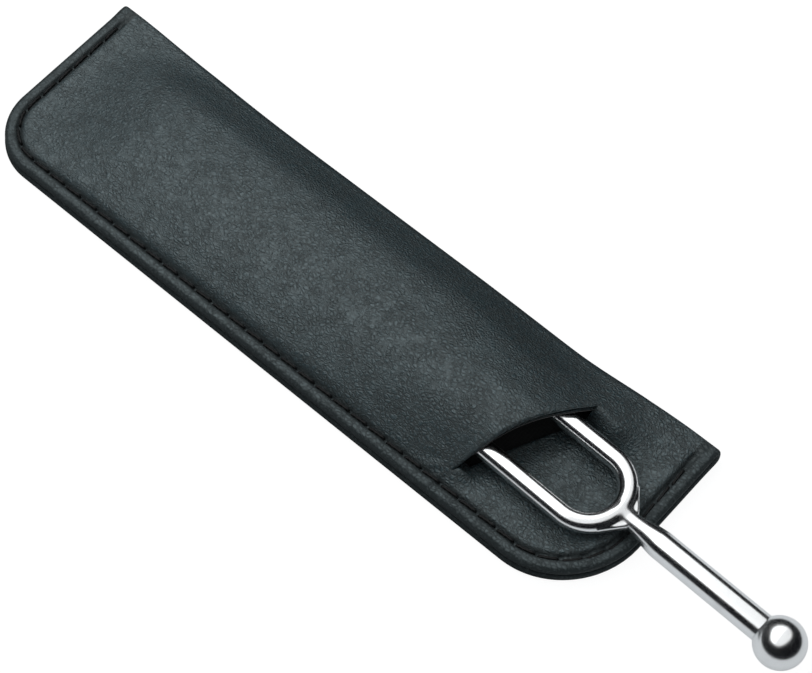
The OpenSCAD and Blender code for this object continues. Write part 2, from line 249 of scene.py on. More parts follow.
class Sockets:
    """A socket or a number in a node tree, so that shader maths reads as Python."""

    def __init__(self, tree, value):
        self.tree = tree
        self.value = value

    def _math(self, operation, *values):
        return self.node("ShaderNodeMath", {"operation": operation}, dict(enumerate(values)))

    def node(self, kind, settings=None, inputs=None, output=0):
        """Any node: its type, its settings, which are set first, and its sockets' values or links."""
        made = self.tree.nodes.new(kind)
        for key, value in (settings or {}).items():
            setattr(made, key, value)
        for key, value in (inputs or {}).items():
            if isinstance(value, Sockets):
                value = value.value
            if isinstance(value, bpy.types.NodeSocket):
                self.tree.links.new(value, made.inputs[key])
            else:
                made.inputs[key].default_value = value
        return Sockets(self.tree, made.outputs[output])

    def __add__(self, other):
        return self._math("ADD", self, other)

    __radd__ = __add__

    def __sub__(self, other):
        return self._math("SUBTRACT", self, other)

    def __rsub__(self, other):
        return self._math("SUBTRACT", other, self)

    def __mul__(self, other):
        return self._math("MULTIPLY", self, other)

    __rmul__ = __mul__

    def __abs__(self):
        return self._math("ABSOLUTE", self)

    def sine(self):
        return self._math("SINE", self)

    def at_least(self, other):
        return self._math("MAXIMUM", self, other)

    def smooth(self, low, high):
        """0 below low, 1 above high, and smooth between."""
        return self.node("ShaderNodeMapRange", {"interpolation_type": "SMOOTHSTEP"},
                         {"Value": self, "From Min": low, "From Max": high})

    def blend(self, low, high):
        """A colour from low to high, by this factor."""
        return self.node("ShaderNodeMix", {"data_type": "RGBA"}, {0: self, 6: low, 7: high}, output=2)

    def moved(self, other, amount):
        """This vector plus a multiple of another that is centred on a half."""
        centred = self.node("ShaderNodeVectorMath", {"operation": "SUBTRACT"}, {0: other, 1: (0.5, 0.5, 0.5)})
        scaled = self.node("ShaderNodeVectorMath", {"operation": "SCALE"}, {0: centred, "Scale": amount})
        return self.node("ShaderNodeVectorMath", {"operation": "ADD"}, {0: self, 1: scaled})

    def turned(self, angle, scale):
        """This place turned about Z and stretched."""
        return self.node("ShaderNodeMapping", None,
                         {"Vector": self, "Rotation": (0, 0, angle), "Scale": scale})

    def noise(self, scale, detail, output="Fac", **more):
        """Noise over this place, with so many bumps to the metre."""
        return self.node("ShaderNodeTexNoise", None,
                         {"Vector": self, "Scale": scale, "Detail": detail, **more}, output)

    def cells(self, scale):
        """Distance to the borders between scattered cells."""
        return self.node("ShaderNodeTexVoronoi", {"feature": "DISTANCE_TO_EDGE"},
                         {"Vector": self, "Scale": scale, "Randomness": 1.0})

    def threads(self, direction, scale):
        """Parallel waves across this place."""
        return self.node("ShaderNodeTexWave", {"bands_direction": direction},
                         {"Vector": self, "Scale": scale})

    def bump(self, strength, distance):
        """A normal from this height."""
        return self.node("ShaderNodeBump", None, {"Strength": strength, "Distance": distance, "Height": self})

    # where a pattern starts

    def place(self):
        return self.node("ShaderNodeTexCoord", output="Object")

    def attribute(self, name):
        return self.node("ShaderNodeAttribute", {"attribute_name": name}, output="Fac")

    def ray(self, kind):
        """1 where a ray is of this kind, such as Camera or Glossy."""
        return self.node("ShaderNodeLightPath", output=f"Is {kind} Ray")


def rgba(colour, share=1.0):
    """A colour with its alpha, made darker or lighter."""
    return (colour[0] * share, colour[1] * share, colour[2] * share, 1.0)


def new_finish(name, constants):
    """A material with one Principled shader, its steady values set, and a handle for its maths."""
    material = bpy.data.materials.new(name)
    material.use_nodes = True
    tree = material.node_tree
    shader = tree.nodes["Principled BSDF"]
    for key, value in constants.items():
        shader.inputs[key].default_value = value
    return material, shader, Sockets(tree, None)


def feed(maths, shader, **links):
    """Links expressions to the shader's sockets, named with underscores for spaces."""
    for key, socket in links.items():
        maths.tree.links.new(socket.value, shader.inputs[key.replace("_", " ")])


def leather_finish(colour, seam_inset):
    """Pebbled charcoal leatherette: rounded grains with dark creases between them, and pores. The
    grain grows stronger toward the mouth and is pressed flat in the turned border."""
    material, shader, maths = new_finish("charcoal_leatherette", {
        "Specular IOR Level": 0.86, "IOR": 1.55, "Specular Tint": (0.86, 0.98, 1.0, 1.0)})
    place = maths.place()
    edge = maths.attribute("edge_distance")
    bent = place.moved(place.noise(330.0, 4.0, "Color"), 0.0016)
    pulled = bent.turned(-0.5, (0.72, 1.0, 1.0))
    pores = place.noise(5200.0, 2.0)
    patches = place.noise(60.0, 4.0)
    depth = place.noise(260.0, 2.0).smooth(0.3, 0.65) * 0.4 + 0.6
    along = maths.node("ShaderNodeSeparateXYZ", None, {"Vector": place}).smooth(-0.075, 0.06)
    strong = depth * (along * 0.4 + 0.75)
    pebbles = pulled.cells(1500.0).smooth(0.0, 0.36)
    small_pebbles = bent.cells(2600.0).smooth(0.0, 0.32)
    folds = 1 - abs(pulled.noise(620.0, 3.0, Roughness=0.6) - 0.5).smooth(0.0, 0.05)
    grain = pebbles * 0.6 * strong + small_pebbles * 0.22 + pores * 0.08 - folds * 0.3
    pressed = edge.smooth(0.0012, 0.0045) * 0.65 + 0.35
    valley = (1 - pebbles) * strong * 0.6 + (1 - small_pebbles) * 0.15 + folds * 0.25
    in_seam = 1 - abs(edge - seam_inset).smooth(0.0004, 0.0011)
    border = 1 - edge.smooth(0.0016, 0.0026)
    rim = 1 - edge.smooth(0.0004, 0.001)
    # Painted shade: the seam groove and the sewn edge's rounded side are darkened for the shade that falls in
    # them. The border strip within about 2.6 mm of the edge is darker as well.
    wear_and_shade = (1 - in_seam * 0.8) * (1 - border * 0.25) * (1 - rim * 0.5)
    tone = (patches * 0.2 + 0.93) * (1 - valley * 0.85) * wear_and_shade
    shade = tone.smooth(0.2, 1.2).blend(rgba(colour, 0.25), rgba(colour, 1.6))
    rough = valley * 0.4 + patches * 0.05 + border * 0.15 + rim * 0.3 + in_seam * 0.2 + 0.3
    bump = (grain * pressed + patches * 0.2).bump(0.6, 0.0002)
    feed(maths, shader, Base_Color=shade, Roughness=rough, Normal=bump)
    return material


def lining_finish(colour):
    """Plain-woven dark cloth."""
    material, shader, maths = new_finish(
        "lining_cloth", {"Specular IOR Level": 0.2, "Sheen Weight": 0.25, "Sheen Roughness": 0.6})
    place = maths.place()
    fuzz = place.noise(2600.0, 3.0)
    weave = place.threads("X", 520.0) * 0.5 + place.threads("Y", 520.0) * 0.5
    shade = (weave * 0.7 + fuzz * 0.3).blend(rgba(colour, 0.5), rgba(colour, 1.7))
    bump = (weave + fuzz * 0.4).bump(0.5, 0.0001)
    feed(maths, shader, Base_Color=shade, Roughness=fuzz * 0.15 + 0.8, Normal=bump)
    return material


def thread_finish(colour):
    """Twisted, lightly waxed thread."""
    material, shader, maths = new_finish("waxed_thread", {"Specular IOR Level": 0.3})
    fibre = maths.place().noise(9000.0, 2.0)
    ply = maths.attribute("twist").sine()
    shade = (ply * 0.3 + fibre * 0.4 + 0.3).blend(rgba(colour, 0.4), rgba(colour, 2.4))
    bump = (ply * 0.5 + fibre * 0.4).bump(0.5, 0.00008)
    feed(maths, shader, Base_Color=shade, Roughness=fibre * 0.2 + 0.5, Normal=bump)
    return material


def plating_finish(colour):
    """Bright plated steel with faint handling marks and hairlines."""
    material, shader, maths = new_finish(PLATING, {"Metallic": 1.0})
    place = maths.place()
    hairline = place.turned(0, (40.0, 1.0, 1.0)).noise(900.0, 4.0)
    marks = place.noise(120.0, 5.0).smooth(0.48, 0.72)
    shade = marks.blend(rgba(colour), rgba(colour, 0.9))
    rough = marks * 0.08 + hairline.smooth(0.55, 0.8) * 0.05 + 0.2
    bump = (place.noise(300.0, 1.0) + hairline * 0.15).bump(0.25, 0.00003)
    feed(maths, shader, Base_Color=shade, Roughness=rough, Normal=bump)
    return material


def floor_finish(colour):
    """Pale floor that the camera and the metal see as bright, with the object's shadow on it."""
    material, shader, maths = new_finish("pale_floor", {"Roughness": 0.9, "Specular IOR Level": 0.1})
    tooth = maths.place().noise(800.0, 3.0)
    feed(maths, shader, Base_Color=tooth.blend(rgba(colour, 0.985), rgba(colour)))
    bright = maths.node("ShaderNodeEmission", None, {"Color": (1, 1, 1, 1), "Strength": 1.15})
    seen = maths.ray("Camera").at_least(maths.ray("Transmission"))
    factor = (seen * 0.8).at_least(maths.ray("Glossy") * 0.15)
    both = maths.node("ShaderNodeMixShader", None, {0: factor, 1: shader.outputs[0], 2: bright})
    feed(maths, maths.tree.nodes["Material Output"], Surface=both)
    return material


# ---------------------------------------------------------------- the sleeve's shape


class Sleeve:
    """The folded blank of the sleeve. Plan places are in millimetres from the corner between the
    closed end and the sewn long edge."""

    slit_start, slit_end = 6.0, 31.2  # from the sewn edge
    slit_centre = 0.4625  # the slit's middle, as a share of the width
    slit_back = 0.4  # how much nearer the closed end the slit lies than its size says
    bow = 0.7  # how far the slit bows toward the closed end
    bow_start, bow_run = 5, 27
    crown_clear = 0.3  # between the prongs and the lining over them
    crown_at_prongs = 0.78  # the arch's height over the prongs, as a share of its top
    fold_clear = 3  # how far from the fold the surface detail fades
    fold_bias = 0.2  # the share of the thickness at which the sheet's edge closes at the fold
    edge_rounding = 0.7
    hem_gap = 0.01  # from the middle of the sewn edge to either turned edge

    def __init__(self, scene):
        self.s = Millimetres(scene.sleeve_sizes)
        self.seam = Millimetres(scene.seam_sizes)
        self.prong_radius = scene.fork_sizes.prong / MM / 2
        low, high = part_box("back_cover")
        self.length = (high.x - low.x) / MM
        self.width = (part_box("fold_spine")[1].y - low.y) / MM
        self.origin = Vector((low.x, low.y, low.z)) / MM
        self.half_edge = self.s.edge_thickness / 2
        self.crease = self.width - self.s.fold_depth
        self.slit_middle = self.length - self.s.mouth_from_end - self.slit_back
        self._find_fork_line()
        self._find_seam()

    def _find_fork_line(self):
        """The height of the fork's centre line over the sleeve, which the pocket has to clear."""
        root = Vector(JOINTS["prong_left_flex"]["pos_m"]) / MM - self.origin
        axis = Vector(JOINTS["fork_slide"]["axis"])
        self.fork_slope = axis.z / axis.x
        self.fork_height = root.z + (self.length - root.x) * self.fork_slope

    def _find_seam(self):
        """The seam's stretches, by distance from its start at the closed end."""
        s, seam = self.s, self.seam
        top = self.width - seam.stop
        closed = s.closed_radius - seam.inset
        mouth = s.mouth_radius - seam.inset
        first = top - s.closed_radius
        second = first + closed * math.pi / 2
        third = second + self.length - s.mouth_radius - s.closed_radius
        fourth = third + mouth * math.pi / 2
        self.seam_ends = (first, second, third, fourth)
        self.seam_length = fourth + top - s.mouth_radius
        self.stitches = int(self.seam_length // seam.pitch)

    def seam_point(self, along):
        """A place on the seam, and the direction in which it runs."""
        s, inset = self.s, self.seam.inset
        first, second, third, fourth = self.seam_ends
        middle = self.length - s.mouth_radius
        if along < first:
            return Vector((inset, self.width - self.seam.stop - along)), Vector((0, -1))
        if along < second:
            return self.corner_point(s.closed_radius, s.closed_radius, math.pi, along - first)
        if along < third:
            return Vector((s.closed_radius + along - second, inset)), Vector((1, 0))
        if along < fourth:
            return self.corner_point(middle, s.mouth_radius, 1.5 * math.pi, along - third)
        return Vector((self.length - inset, s.mouth_radius + along - fourth)), Vector((0, 1))

    def corner_point(self, x, radius, start, along):
        """The same on the seam's bend round a corner, which starts at an angle."""
        reach = radius - self.seam.inset
        a = start + along / reach
        spot = Vector((x, radius)) + reach * Vector((math.cos(a), math.sin(a)))
        return spot, Vector((-math.sin(a), math.cos(a)))

    def seam_place(self, x, y):
        """How far along the seam the nearest stitch place lies."""
        first, second, third, fourth = self.seam_ends
        closed, mouth = self.s.closed_radius, self.s.mouth_radius
        middle = self.length - mouth
        if x < closed and y < closed:
            return first + math.atan2(closed - y, closed - x) * (closed - self.seam.inset)
        if x > middle and y < mouth:
            return third + math.atan2(x - middle, mouth - y) * (mouth - self.seam.inset)
        edges = ((x, self.width - self.seam.stop - y), (y, second + x - closed),
                 (self.length - x, fourth + y - mouth))
        return min(edges)[1]

    # plan

    def fullness(self, x):
        """How far the sleeve is filled by the fork at a place along it, from 0 at both ends to 1."""
        return ramp(5, 46, x) * (1 - ramp(self.length - 31, self.length - 4, x))

    def waist(self, x):
        """How far the fold draws in at a place along the sleeve."""
        return self.s.fold_waist * self.fullness(x)

    def slit_x(self, y):
        """Where the slanted, slightly bowed slit lies at a distance from the sewn edge."""
        bowed = self.bow * (0.5 - math.sin(math.pi * clamp((y - self.bow_start) / self.bow_run)))
        slanted = (y - self.slit_centre * self.width) * math.tan(self.s.mouth_slant)
        return self.slit_middle + bowed + slanted

    def plan(self, u, v):
        """Where a place on the flat blank lies in plan: the corners are rounded with lines that stay
        parallel to the edge, the slit is slanted and the fold drawn in."""
        s = self.s
        x, y = u, v
        for centre, radius, way in ((s.closed_radius, s.closed_radius, -1),
                                    (self.length - s.mouth_radius, s.mouth_radius, 1)):
            a, b = (u - centre) * way, radius - v
            if a > 0 and b > 0:
                reach = max(a, b)
                turn = math.pi / 4 * (min(a, b) / reach)
                major, minor = reach * math.cos(turn), reach * math.sin(turn)
                x = centre + way * (major if a >= b else minor)
                y = radius - (minor if a >= b else major)
        weight = ramp(58, self.slit_middle, u) if u < self.slit_middle else (
            1 - ramp(self.slit_middle, self.length - s.mouth_radius + 1, u))
        x += weight * (self.slit_x(y) - self.slit_middle)
        x -= s.skew * (1 - clamp(y / self.width)) * ramp(self.length - 24, self.length, x)
        y -= self.waist(x) * ramp(12, self.crease, v)
        return x, y

    def spread(self, u, v, out):
        """Moves a place on the blank outwards by a distance at the sewn edges."""
        u += out * ((1 - ramp(0, 5, self.length - u)) - (1 - ramp(0, 5, u)))
        return u, v - out * (1 - ramp(0, 5, v))

    # heights

    def across(self, x, y):
        """The share of the way from the seam to the fold."""
        low = self.seam.inset + 0.9
        return clamp((y - low) / (self.width - self.waist(x) - low))

    @staticmethod
    def arch(share, skew, power):
        """An arch over that share, with its top moved by the skew and its flanks drawn in by the power."""
        return math.sin(math.pi * share ** skew) ** power if 0 < share < 1 else 0.0

    def crown(self, x):
        """The rise of the pocket that lets the prongs lie under it."""
        fork = self.fork_height + (x - self.length) * self.fork_slope
        above = self.prong_radius + self.crown_clear + self.s.skin + self.s.lining
        return ramp(4, 28, x) * (fork + above - self.s.edge_thickness) / self.crown_at_prongs

    def lip(self, x, y):
        """The height of the open lip above the sewn edge."""
        return self.s.lip_rise * self.arch(self.across(x, y), 0.8, 1.5)

    def pocket_z(self, x, y):
        """The top of the pocket: arched over the prongs, and rising to the open lip at the slit."""
        before = x - self.slit_x(y)
        open_share = ramp(-38, 0, before)
        arch = self.arch(self.across(x, y), mix(1, 0.8, open_share), mix(0.7, 1.5, open_share))
        fall = self.s.fall * ramp(29, 38, y) * ramp(2, 22, x) * (1 - ramp(-16, 0, before))
        return self.s.edge_thickness + mix(self.crown(x), self.s.lip_rise, open_share) * arch - fall

    def panel_z(self, x, y):
        """The top of the panel beyond the slit: joined to the lip at both ends of the slit, curled down
        between them, and dipping under the fork."""
        beyond = x - self.slit_x(y)
        near = (1 - ramp(self.slit_start, self.slit_start + 1.6, y)) * (1 - ramp(0, 5, beyond))
        joined = self.slit_end - 2.9 - 1.5 * clamp(beyond / 6)
        far = ramp(joined, self.slit_end - 0.4, y) * (1 - ramp(0, 15, beyond))
        dip = (self.s.panel_dip * math.sin(math.pi * self.across(x, y))
               * ramp(self.s.hem + 1.5, self.s.hem + 8, self.edge_gap(x, y)) * (1 - far))
        curl = (self.s.curl * (1 - ramp(0, 6, beyond)) * (1 - far)
                * ramp(self.slit_start, self.slit_start + 4, y))
        return self.s.edge_thickness + self.lip(x, y) * max(near, far) - (dip + curl) * (1 - near)

    def edge_gap(self, x, y):
        """Distance from the sewn edge, on the mouth side."""
        middle = self.length - self.s.mouth_radius
        if x > middle and y < self.s.mouth_radius:
            return self.s.mouth_radius - math.hypot(x - middle, self.s.mouth_radius - y)
        return min(y, self.length - x)

    def unevenness(self, x, y, depth):
        """Soft waves of the leatherette, fading out at the seam."""
        inner = ramp(3.2, 8, depth)
        broad = noise.noise(Vector((x / 11, y / 9, 3.1)))
        close = noise.noise(Vector((x / 3.4, y / 2.6, 8.7)))
        wear_and_shade = 1 + 1.3 * ramp(self.length - 40, self.length - 22, x)
        return self.s.wrinkle * inner * wear_and_shade * (broad + 0.35 * close) + self.pull_creases(x, y)

    def pull_creases(self, x, y):
        """Small creases that fan out over the pocket from the slit's end on the sewn side."""
        depth, reach, folds = 0.13, 12, 11
        back, up = self.slit_x(self.slit_start) - x, y - self.slit_start
        away = math.hypot(back, up)
        if back < 0 or away > reach:
            return 0.0
        fan = math.sin(folds * math.atan2(up, back) + 2 * noise.noise(Vector((x / 3, y / 3, 1.7))))
        return depth * fan * ramp(1.0, 3.0, away) * (1 - ramp(4, reach, away))

    def seam_relief(self, x, y, depth):
        """The pressed groove, its stitch holes and the swell of the leatherette beside it."""
        seam = self.seam
        along = self.seam_place(x, y)
        if not -seam.pitch * 0.4 < along < self.seam_length + seam.pitch * 0.4:
            return 0.0
        from_seam = depth - seam.inset
        phase = along / seam.pitch
        from_hole = abs(phase - round(phase)) * seam.pitch
        groove = seam.groove * (1 - ramp(0.12, 0.8, abs(from_seam)))
        hole = 0.4 * (1 - ramp(0.15, 0.85, math.hypot(from_seam, from_hole)))
        gather = 0.5 + 0.5 * math.cos(2 * math.pi * phase)  # 1 at a stitch hole, 0 between two
        swell = (0.30 - 0.14 * gather) * ramp(0.5, 1.3, from_seam) * (1 - ramp(1.6, 4.5, from_seam))
        outside = (0.09 - 0.09 * gather) * ramp(0.4, 0.8, -from_seam) * (1 - ramp(1.0, 1.9, -from_seam))
        return swell + outside - groove - hole

    # the sheet's two faces

    def slit_gap(self, x, y):
        """Distance in plan from the slit."""
        lean = math.cos(self.s.mouth_slant)
        if y < self.slit_start:
            return math.hypot(x - self.slit_x(self.slit_start), y - self.slit_start)
        if y > self.slit_end:
            return math.hypot(x - self.slit_x(self.slit_end), y - self.slit_end)
        return abs(x - self.slit_x(y)) * lean

    def faces(self, u, row, beyond):
        """The outer and the inner place of the blank at a column and a row, and how far the edge is.
        A row is ("front", distance from the sewn edge), ("fold", angle) or ("back", distance)."""
        zone, value = row
        depth = min(u, self.length - u)
        slit = math.inf
        if zone == "fold":
            outer, inner = self.fold_faces(u, value, beyond, depth)
            bias = self.fold_bias
        else:
            depth = min(depth, value)
            near_fold = ramp(self.crease - self.fold_clear, self.crease, value)
            bias = mix(0.5, self.fold_bias, near_fold)
            if zone == "front":
                outer, inner, slit = self.front_faces(u, value, beyond, depth, near_fold)
            else:
                outer, inner = self.back_faces(u, value, depth)
        centre = outer.lerp(inner, bias)
        round_edge = self._rounding(depth, self.edge_rounding)
        if slit < self.s.rim / 2:
            round_edge = min(round_edge, self._rounding(slit, self.s.rim / 2))
        return centre.lerp(outer, round_edge), centre.lerp(inner, round_edge), depth

    def turned_in(self, depth):
        """0 where the edge is turned in and doubled, and 1 where the blank is single."""
        return ramp(self.s.hem - 0.8, self.s.hem + 0.6, depth)

    def top(self, x, y, beyond):
        """The height of the front, on the panel beyond the slit or on the pocket."""
        return self.panel_z(x, y) if beyond else self.pocket_z(x, y)

    def fold_faces(self, u, angle, beyond, depth):
        """Round the fold, squarer at its ends and fuller at the middle."""
        s = self.s
        x, y = self.plan(*self.spread(u, self.crease, s.lower_edge * (1 - math.sin(angle)) / 2))
        half = self.top(x, y, beyond) / 2
        thick = mix(min(self.half_edge, half) - 2 * self.hem_gap, s.skin, self.turned_in(depth))
        full = self.fullness(x)
        lean = math.cos(angle) ** mix(0.42, 1.5, full)
        rise = math.copysign(abs(math.sin(angle)) ** mix(1, 1.4, full), math.sin(angle))
        reach = self.width - self.waist(x) - y
        return (Vector((x, y + reach * lean, half + half * rise)),
                Vector((x, y + (reach - thick) * lean, half + (half - thick) * rise)))

    def front_faces(self, u, v, beyond, depth, near_fold):
        """The front, with its seam groove, its soft waves and the thicker rim of its slit, and how far
        the slit is. A vector would round that distance, and the rim would not close."""
        s = self.s
        x, y = self.plan(*self.spread(u, v, 0.0))
        z = self.top(x, y, beyond)
        slit = self.slit_gap(x, y)
        skin = mix(s.skin if beyond else s.rim, s.skin, ramp(0.8, 4, slit))
        low = mix(self.half_edge + self.hem_gap, z - skin, self.turned_in(depth))
        z += self.seam_relief(x, y, depth) + (1 - near_fold) * self.unevenness(x, y, depth)
        return Vector((x, y, z)), Vector((x, y, low)), slit

    def back_faces(self, u, v, depth):
        """The back, flat on the table but for the seam groove."""
        x, y = self.plan(*self.spread(u, v, self.s.lower_edge))
        high = mix(self.half_edge - self.hem_gap, self.s.skin, self.turned_in(depth))
        relief = min(0.0, self.seam_relief(x, y, depth))
        return Vector((x, y, -relief)), Vector((x, y, high))

    @staticmethod
    def _rounding(gap, radius):
        """The share of the full thickness at a gap from a rounded edge."""
        return max(0.0, 1 - (max(0.0, radius - gap) / radius) ** 2.3) ** (1 / 2.3)

    def in_frame(self, point):
        """A place in the sleeve's millimetres as one in the frame's metres."""
        return (point + self.origin) * MM


def folded_sheet(sleeve, columns, rows, slit_column, slit_rows, sheet_faces):
    """A closed sheet of two faces, folded over once, with a slit along one column."""
    bm = bmesh.new()
    edge = bm.verts.layers.float.new("edge_distance")
    mapped_grid(bm, len(columns), len(rows), lambda i, j: Vector((i, j, 0)))
    cut = [e for e in bm.edges
           if all(abs(v.co.x - slit_column) < 0.1 for v in e.verts)
           and all(slit_rows[0] - 0.1 < v.co.y < slit_rows[1] + 0.1 for v in e.verts)]
    bmesh.ops.split_edges(bm, edges=cut)
    bm.verts.ensure_lookup_table()
    place = {}
    for vert in bm.verts:
        i, j = round(vert.co.x), round(vert.co.y)
        side = sum(f.calc_center_median().x for f in vert.link_faces) / len(vert.link_faces) - i
        open_here = i == slit_column and slit_rows[0] < j < slit_rows[1]
        beyond = i > slit_column or (open_here and side > 0.2)
        place[vert] = sheet_faces(columns[i], rows[j], beyond)
    copied = bmesh.ops.duplicate(bm, geom=bm.verts[:] + bm.edges[:] + bm.faces[:])
    twin = copied["vert_map"]
    inner_faces = [g for g in copied["geom"] if isinstance(g, bmesh.types.BMFace)]
    for vert, (outside, inside, gap) in place.items():
        vert.co = sleeve.in_frame(outside)
        twin[vert].co = sleeve.in_frame(inside)
        vert[edge] = gap * MM
        twin[vert][edge] = gap * MM
    bmesh.ops.reverse_faces(bm, faces=inner_faces)
    return bm


# ---------------------------------------------------------------- operators


class SLEEVE_OT_cover(Operator):
    """Model the folded leatherette cover with its turned edges, seam groove and slit"""

    bl_idname = "sleeve.cover"
    bl_label = "Cover"

    def execute(self, context):
        scene = context.scene
        sleeve = Sleeve(scene)
        s, long, slit = sleeve.s, sleeve.length, sleeve.slit_middle
        columns = from_edge((s.hem, 6), (SLANT_START, 187), (slit - SLIT_RIM[-1], 27))
        columns += [slit - k for k in SLIT_RIM[-2::-1]]
        slit_column = len(columns)
        columns += [slit] + [slit + k for k in SLIT_RIM]
        columns += runs(slit + SLIT_RIM[-1], (long - s.mouth_radius, 15), (long - s.hem, 20))[1:]
        columns += [long - k for k in from_edge((s.hem, 6))[-2::-1]]
        front = from_edge((sleeve.slit_start, 6), (sleeve.slit_end, 46), (sleeve.crease, 14))
        slit_rows = nearest(front, sleeve.slit_start), nearest(front, sleeve.slit_end)
        rows = blank_rows(front, 20, from_edge((s.hem, 5), (sleeve.crease, 15)))
        bm = folded_sheet(sleeve, columns, rows, slit_column, slit_rows, sleeve.faces)
        bmesh.ops.remove_doubles(bm, verts=bm.verts, dist=MERGE * MM)
        bmesh.ops.recalc_face_normals(bm, faces=bm.faces)
        self.soften_crease(bm, sleeve.origin.y + sleeve.crease)
        finish = leather_finish(scene.finish_colours.leather, scene.seam_sizes.inset)
        piece = finished("sleeve_cover", bm, finish, "sleeve", "leatherette",
                         "front_cover", "back_cover", "fold_spine", "front_hem", "back_hem")
        return {"FINISHED"}

    @staticmethod
    def soften_crease(bm, crease):
        """Evens out the join between the front or the back and the fold, away from the ends."""
        edge = bm.verts.layers.float["edge_distance"]
        inside, outside = 2.4, 1.2
        near = [v for v in bm.verts if -inside < v.co.y / MM - crease < outside and v[edge] > MM]
        for _ in range(3):
            bmesh.ops.smooth_vert(bm, verts=near, factor=0.5, use_axis_x=False,
                                  use_axis_y=True, use_axis_z=True)


class SLEEVE_OT_lining(Operator):
    """Model the lining cloth inside the cover"""

    bl_idname = "sleeve.lining"
    bl_label = "Lining"

    def execute(self, context):
        scene = context.scene
        sleeve = Sleeve(scene)
        cloth, slit = sleeve.s.lining, sleeve.slit_middle
        closed_end, sewn_edge, mouth_end, rim = 8.5, 9.4, 9.5, 0.9  # distances in from each
        columns = runs(closed_end, (SLANT_START, 76), (slit - rim, 14), (slit, 3))
        slit_column = len(columns) - 1
        columns += runs(slit, (slit + rim, 3), (sleeve.length - mouth_end, 16))[1:]
        front = runs(sewn_edge, (sleeve.slit_end, 30), (sleeve.crease, 7))
        slit_rows = -1, nearest(front, sleeve.slit_end)
        rows = blank_rows(front, 14, runs(sewn_edge, (sleeve.crease, 16)))

        def faces(u, row, beyond):
            outside, inside, depth = sleeve.faces(u, row, beyond)
            through = inside - outside
            upright = Vector((0, 0, -1 if row[0] == "front" else 1))
            inward = through.normalized() if through.length > cloth else upright
            at_slit = row[0] == "front" and sleeve.slit_gap(inside.x, inside.y) < 0.7
            glue, tucked_in = 0.03, 0.15
            start = inside + inward * (glue + (tucked_in if at_slit else 0.0))
            return start, start + inward * cloth, depth

        bm = folded_sheet(sleeve, columns, rows, slit_column, slit_rows, faces)
        bmesh.ops.bridge_loops(bm, edges=[e for e in bm.edges if e.is_boundary])
        bmesh.ops.recalc_face_normals(bm, faces=bm.faces)
        piece = finished("sleeve_lining", bm, lining_finish(scene.finish_colours.lining), "sleeve", "lining",
                         "front_lining", "back_lining")
        return {"FINISHED"}


class SLEEVE_OT_stitches(Operator):
    """Sew the cover: twisted stitches on the front and on the back"""

    bl_idname = "sleeve.stitches"
    bl_label = "Stitches"

    def execute(self, context):
        scene = context.scene
        sleeve = Sleeve(scene)
        material = thread_finish(scene.finish_colours.thread)
        radius = sleeve.seam.thread / 2
        front = sleeve.s.edge_thickness - sleeve.seam.groove + radius * 0.92
        back = radius * 1.02 + 0.08  # clear of the table
        for name, node, base, way in (("needle_stitches", "needle_thread", front, 1),
                                      ("bobbin_stitches", "bobbin_thread", back, -1)):
            bm = bmesh.new()
            twist = bm.verts.layers.float.new("twist")
            for k in range(sleeve.stitches):
                self.stitch(bm, twist, sleeve, k, base, way, radius)
            bmesh.ops.remove_doubles(bm, verts=bm.verts, dist=MERGE * MM)
            bmesh.ops.recalc_face_normals(bm, faces=bm.faces)
            finished(name, bm, material, "sleeve", "thread", node)
        return {"FINISHED"}

    @staticmethod
    def stitch(bm, twist, sleeve, k, base, way, radius):
        """One stitch, which rises out of a hole, lies in the groove and dips into the next hole."""
        steps, sides, twist_angle = 18, 10, 5.5
        slant, wander, plunge, crown, ply = 0.11, 0.05, 0.62, 0.05, 0.13
        pitch = sleeve.seam.pitch
        seed = noise.noise(Vector((k * 1.7, way * 3.3, 0.5)))

        def place(i, j):
            t = 2 * i / (steps - 1) - 1
            along = (k + 0.5 + 0.47 * t) * pitch
            spot, run = sleeve.seam_point(min(along, sleeve.seam_length))
            across = Vector((-run.y, run.x))
            drop = plunge * abs(t) ** 7 - crown * (1 - t * t)
            a = 2 * math.pi * j / (sides - 1)
            spiral = a - t * twist_angle
            size = radius * (1 + ply * math.cos(2 * spiral)) * math.sqrt(max(0.0, 1 - t ** 12))
            spot = spot + across * (slant * t + wander * seed + size * math.cos(a))
            return sleeve.in_frame(spot.to_3d() + Vector(
                (0, 0, base + way * (size * math.sin(a) * 0.9 - drop))))

        table = mapped_grid(bm, steps, sides, place)
        for (i, j), vert in table.items():
            t = 2 * i / (steps - 1) - 1
            vert[twist] = 2 * (2 * math.pi * j / (sides - 1) - t * twist_angle)


